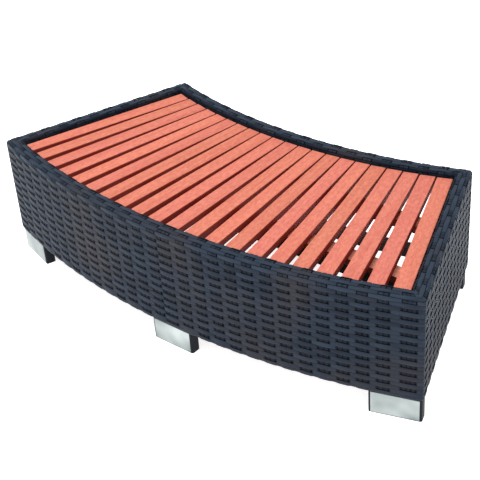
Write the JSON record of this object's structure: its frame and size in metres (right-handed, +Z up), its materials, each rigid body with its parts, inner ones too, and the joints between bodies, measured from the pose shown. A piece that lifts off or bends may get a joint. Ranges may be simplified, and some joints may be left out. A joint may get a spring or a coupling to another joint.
{
  "type": "spa steps",
  "caption": "Curved spa step with a slatted wood deck in a woven resin-wicker shell on short block feet, concave on the tub side.",
  "frame": {"origin": "on the floor, under the middle of the plan outline", "axes": "+X along the step, -Y towards the user (bowed front), +Y towards the tub (hollow side), +Z up"},
  "size_m": [0.92, 0.4479, 0.24],
  "materials": {
    "rattan": "satin",
    "wood": "oiled, matte",
    "frame_steel": "powder coat, satin",
    "foot_plastic": "matte",
    "foot_plate": "satin",
    "screw_steel": "zinc plated"
  },
  "bodies": {
    "shell": {"top_rail_front": "frame_steel", "top_rail_back": "frame_steel", "top_rail_left": "frame_steel", "top_rail_right": "frame_steel", "bottom_rail_front": "frame_steel", "bottom_rail_back": "frame_steel", "bottom_rail_left": "frame_steel", "bottom_rail_right": "frame_steel", "ledge_rail_left": "frame_steel", "ledge_rail_right": "frame_steel", "corner_post_front_left": "frame_steel", "corner_post_front_right": "frame_steel", "corner_post_back_left": "frame_steel", "corner_post_back_right": "frame_steel", "mid_post_front": "frame_steel", "mid_post_back": "frame_steel", "front_bearer": "frame_steel", "rear_bearer": "frame_steel", "centre_crossbar": "frame_steel", "weave_front": "rattan", "weave_left": "rattan", "weave_right": "rattan", "rim_wrap_back": "rattan", "foot_front_left": "foot_plastic", "foot_front_centre": "foot_plastic", "foot_front_right": "foot_plastic", "foot_back_left": "foot_plastic", "foot_back_centre": "foot_plastic", "foot_back_right": "foot_plastic", "foot_plate_front_left": "foot_plate", "foot_plate_front_centre": "foot_plate", "foot_plate_front_right": "foot_plate", "foot_plate_back_left": "foot_plate", "foot_plate_back_centre": "foot_plate", "foot_plate_back_right": "foot_plate", "foot_screws": "screw_steel"},
    "deck": {"slat_01": "wood", "slat_02": "wood", "slat_03": "wood", "slat_04": "wood", "slat_05": "wood", "slat_06": "wood", "slat_07": "wood", "slat_08": "wood", "slat_09": "wood", "slat_10": "wood", "slat_11": "wood", "slat_12": "wood", "slat_13": "wood", "slat_14": "wood", "slat_15": "wood", "slat_16": "wood", "slat_17": "wood", "slat_18": "wood", "slat_19": "wood", "slat_20": "wood", "slat_21": "wood", "front_batten": "wood", "rear_batten": "wood", "slat_screws": "screw_steel"}
  },
  "joints": [
    {"name": "deck_lift", "type": "slide", "parent": "shell", "child": "deck", "axis": [0, 0, 1], "range_m": [0, 0.08]}
  ]
}
